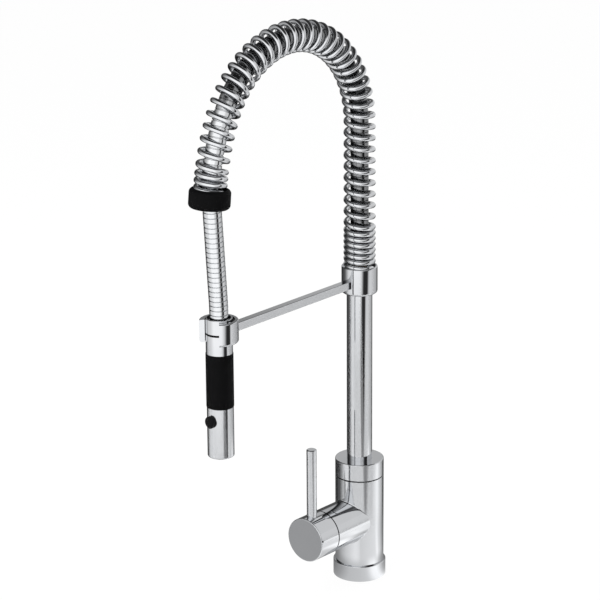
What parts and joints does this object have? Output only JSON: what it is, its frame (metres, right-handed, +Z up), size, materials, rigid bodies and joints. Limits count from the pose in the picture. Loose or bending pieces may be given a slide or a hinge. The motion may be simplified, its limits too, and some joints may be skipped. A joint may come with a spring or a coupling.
{
  "type": "spring pull-down kitchen faucet",
  "caption": "Single-lever kitchen faucet with a tall column, a coil spring arched over a ribbed hose, a support arm with an open dock and a slim pull-down spray with a jet button.",
  "frame": {"origin": "centre of the base, on the worktop face that the faucet stands on", "axes": "+Z up the column; -Y to the front, the way the spout, the handle and the button face; +X right"},
  "size_m": [0.052, 0.2551, 0.5798],
  "materials": {
    "polished_chrome": "mirror polished chrome plating on brass",
    "spring_chrome": "bright chrome plating on steel wire",
    "hose_metal": "bright stainless strip, wound and interlocked",
    "black_rubber": "smooth black rubber",
    "black_nylon": "moulded black nylon",
    "white_acetal": "moulded white acetal",
    "grey_acetal": "moulded grey acetal",
    "ceramic": "lapped alumina ceramic",
    "brass": "machined brass",
    "steel": "stainless steel",
    "index_enamel": "dark enamel"
  },
  "bodies": {
    "body": {"base_ring": "polished_chrome", "base_gasket": "black_rubber", "base_foot": "brass", "mixer_body": "polished_chrome", "mixer_branch": "polished_chrome", "slide_ring": "black_nylon", "swivel_lock_screw": "steel", "cartridge_housing": "white_acetal", "cartridge_port_seals": "black_rubber", "cartridge_fixed_disc": "ceramic", "cartridge_nut": "brass"},
    "mixing_rotor": {"cartridge_rotor": "white_acetal", "tilt_pin": "steel"},
    "disc_slide": {"disc_carrier": "white_acetal", "moving_disc": "ceramic"},
    "handle": {"cartridge_stem": "brass", "handle_cap": "polished_chrome", "lever_rod": "polished_chrome", "handle_set_screw": "steel", "index_dots": "index_enamel"},
    "spout": {"swivel_collar": "polished_chrome", "column_spigot": "brass", "spigot_o_rings": "black_rubber", "column_tube": "polished_chrome", "upper_collar": "polished_chrome", "collar_set_screw": "steel", "hose_connector": "brass", "connector_o_ring": "black_rubber", "hose_top_ferrule": "steel", "hose_arch": "hose_metal", "arch_spring": "spring_chrome", "spring_end_ring": "black_rubber", "support_arm": "polished_chrome", "arm_screw": "steel", "dock_clip": "polished_chrome", "dock_liner": "black_nylon", "hose_drop": "hose_metal"},
    "hose_end": {"hose_cone": "black_nylon", "hose_insert": "brass", "hose_grommet": "black_rubber"},
    "spray": {"hose_nut": "polished_chrome", "nut_washer": "black_rubber", "spray_shell_upper": "polished_chrome", "grip_sleeve": "black_rubber", "spray_shell_lower": "polished_chrome", "spray_core": "white_acetal", "check_valve": "white_acetal", "aerator_insert": "grey_acetal", "spray_face": "grey_acetal"},
    "jet_button": {"jet_button": "black_nylon", "diverter_plunger": "white_acetal", "button_spring": "steel"}
  },
  "joints": [
    {"name": "lever_temperature", "type": "hinge", "parent": "body", "child": "mixing_rotor", "pos_m": [0, -0.048, 0.061], "axis": [0, 1, 0], "range_deg": [-45, 45]},
    {"name": "lever_flow", "type": "hinge", "parent": "mixing_rotor", "child": "handle", "pos_m": [0, -0.0543, 0.052], "axis": [1, 0, 0], "range_deg": [0, 15]},
    {"name": "disc_shift", "type": "slide", "parent": "mixing_rotor", "child": "disc_slide", "axis": [0, 0, 1], "range_m": [0, 0.004]},
    {"name": "spout_swivel", "type": "hinge", "parent": "body", "child": "spout", "pos_m": [0, 0, 0.1], "axis": [0, 0, 1], "continuous": true},
    {"name": "spray_pull", "type": "slide", "parent": "spout", "child": "hose_end", "axis": [0, 0, -1], "range_m": [0, 0.06], "stiffness_N_per_m": 60, "springref_m": -0.1, "deforming": ["hose_drop"]},
    {"name": "spray_twist", "type": "hinge", "parent": "hose_end", "child": "spray", "pos_m": [0, -0.2, 0.31], "axis": [0, 0, 1], "continuous": true},
    {"name": "button_press", "type": "slide", "parent": "spray", "child": "jet_button", "axis": [0, 1, 0], "range_m": [0, 0.0025], "stiffness_N_per_m": 800, "springref_m": -0.001, "deforming": ["button_spring"]}
  ],
  "couplings": [
    {"joint": "disc_shift", "follows": "lever_flow", "m_per_rad": 0.014992}
  ]
}
